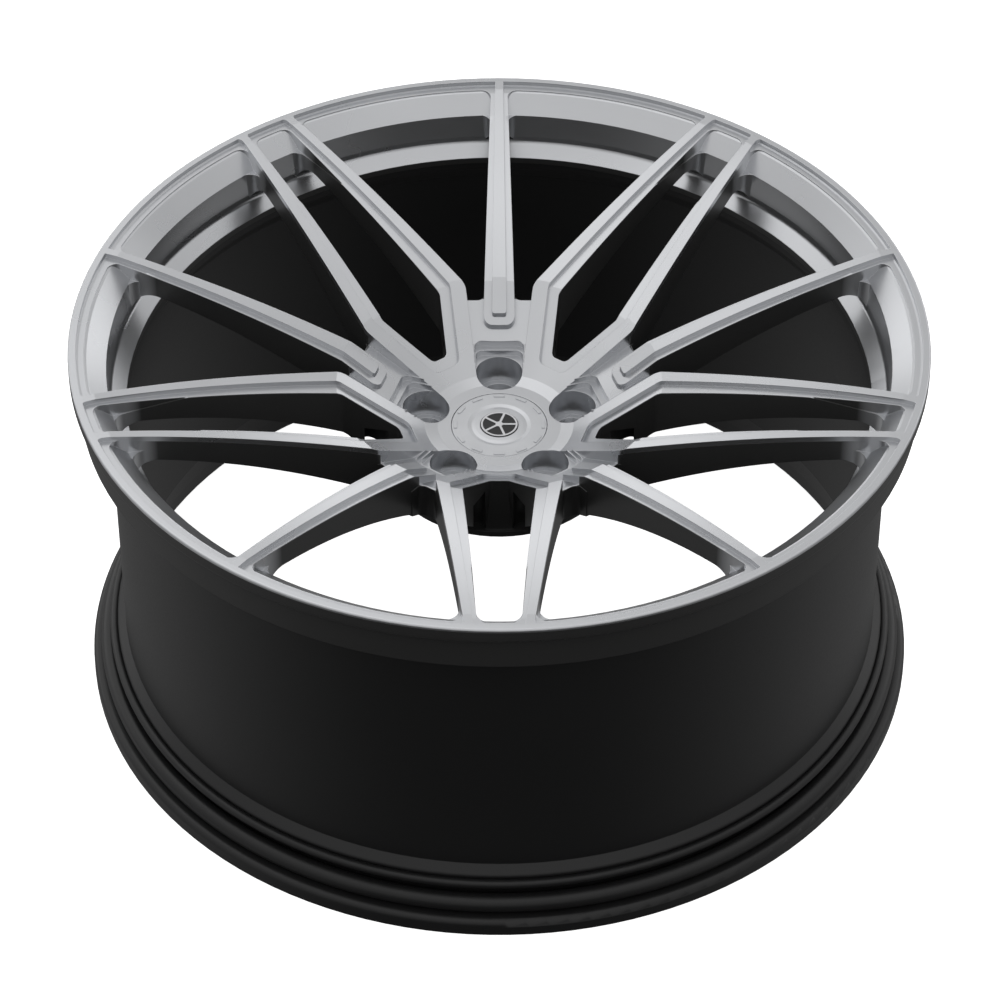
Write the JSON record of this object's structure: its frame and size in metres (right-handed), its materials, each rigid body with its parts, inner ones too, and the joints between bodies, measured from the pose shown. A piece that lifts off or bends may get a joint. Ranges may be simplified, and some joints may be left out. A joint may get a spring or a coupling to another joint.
{
  "type": "alloy wheel",
  "caption": "Forged multi-spoke road and circuit wheel: satin silver face with paired and single spokes, black barrel, clip-in centre cap and clamp-in tyre valve.",
  "frame": {"origin": "on the wheel axis, midway between the outer faces of the two rim flanges", "axes": "+Z along the wheel axis out of the styled face, +Y towards the tyre valve, which lies behind a single spoke, +X to its right seen from the face"},
  "size_m": [0.5474, 0.5474, 0.2662],
  "materials": {
    "face_silver": "satin",
    "barrel_black": "satin",
    "weld_black": "satin",
    "cap_black": "satin",
    "spring_wire": "satin",
    "adhesive": "matte",
    "cap_silver": "satin",
    "badge_black": "gloss",
    "badge_silver": "polished",
    "valve_steel": "satin",
    "valve_rubber": "matte",
    "valve_nickel": "satin",
    "core_brass": "satin",
    "cap_plastic": "satin"
  },
  "bodies": {
    "wheel": {"forged_face": "face_silver", "barrel": "barrel_black", "weld_seam": "weld_black", "valve_stem": "valve_steel", "valve_grommet": "valve_rubber", "valve_washer": "valve_nickel", "valve_nut": "valve_nickel", "core_body": "core_brass", "core_gasket": "valve_rubber", "core_spring": "spring_wire"},
    "valve_pin": {"core_pin": "core_brass", "pin_seal": "valve_rubber"},
    "centre_cap": {"cap_body": "cap_black", "cap_spring_ring": "spring_wire", "cap_adhesive": "adhesive", "cap_plate": "cap_silver", "badge_base": "badge_black", "badge_emblem": "badge_silver"},
    "valve_cap_lift": {"valve_cap_seal": "valve_rubber"},
    "valve_cap_shell": {"valve_cap": "cap_plastic"}
  },
  "joints": [
    {"name": "centre_cap_pull", "type": "slide", "parent": "wheel", "child": "centre_cap", "axis": [0, 0, 1], "range_m": [0, 0.11]},
    {"name": "valve_pin_press", "type": "slide", "parent": "wheel", "child": "valve_pin", "axis": [0, 1, 0], "range_m": [0, 0.0015], "stiffness_N_per_m": 800, "springref_m": -0.0025, "deforming": ["core_spring"]},
    {"name": "valve_cap_lift", "type": "slide", "parent": "wheel", "child": "valve_cap_lift", "axis": [0, -1, 0], "range_m": [0, 0.0088]},
    {"name": "valve_cap_turn", "type": "hinge", "parent": "valve_cap_lift", "child": "valve_cap_shell", "pos_m": [0, 0.22, 0.0601], "axis": [0, -1, 0], "range_deg": [0, 3990]}
  ],
  "couplings": [
    {"joint": "valve_cap_turn", "follows": "valve_cap_lift", "rad_per_m": 7913.2}
  ]
}
